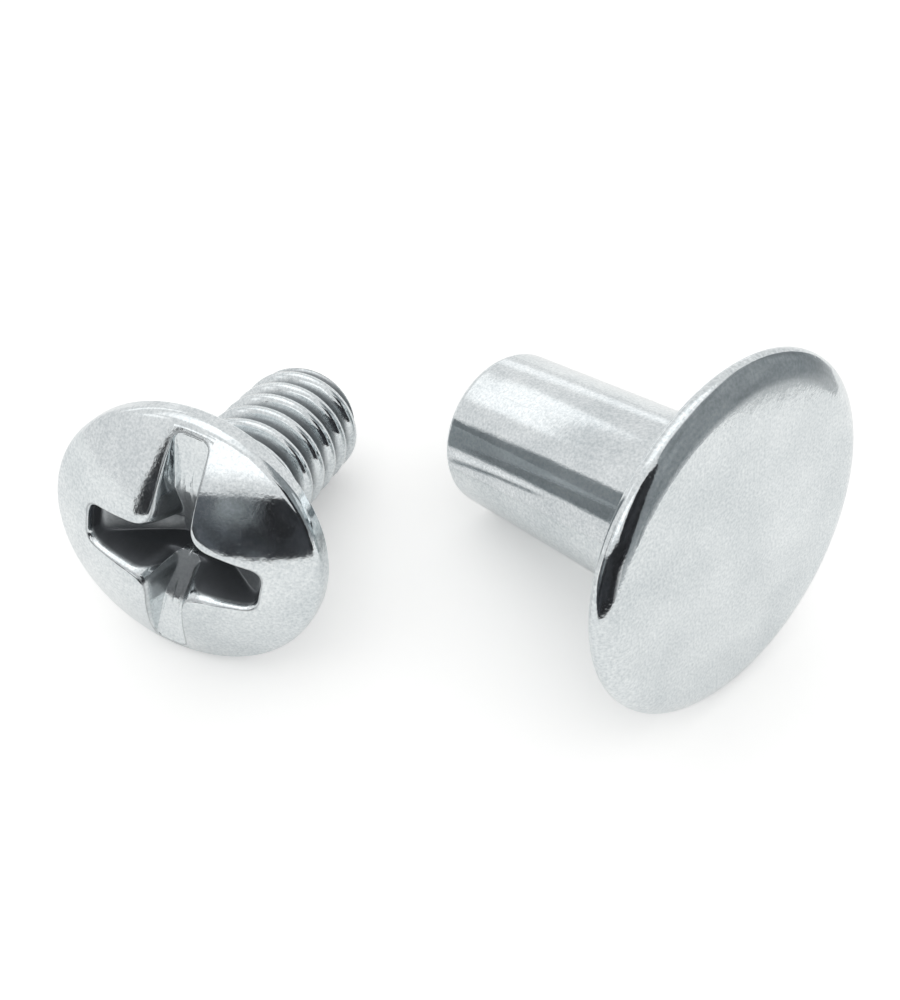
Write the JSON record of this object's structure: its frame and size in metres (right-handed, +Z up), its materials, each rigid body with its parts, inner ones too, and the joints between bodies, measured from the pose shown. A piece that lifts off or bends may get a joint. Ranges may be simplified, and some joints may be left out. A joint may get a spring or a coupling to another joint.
{
  "type": "screw rivet",
  "caption": "Two-piece screw rivet, unscrewed: smooth blind post with a flat cap and tapped bore, and a domed screw with a slotted cross recess; clamps stacked sheets.",
  "frame": {"origin": "middle of the box around both halves, on the surface that they lie on", "axes": "+X from the screw towards the post, +Y from the heads towards the shanks, +Z up from the surface"},
  "size_m": [0.0276, 0.015, 0.0121],
  "materials": {
    "post_plating": "bright nickel plating",
    "screw_plating": "bright nickel plating"
  },
  "bodies": {
    "root": {"post": "post_plating", "screw": "screw_plating"}
  },
  "joints": []
}
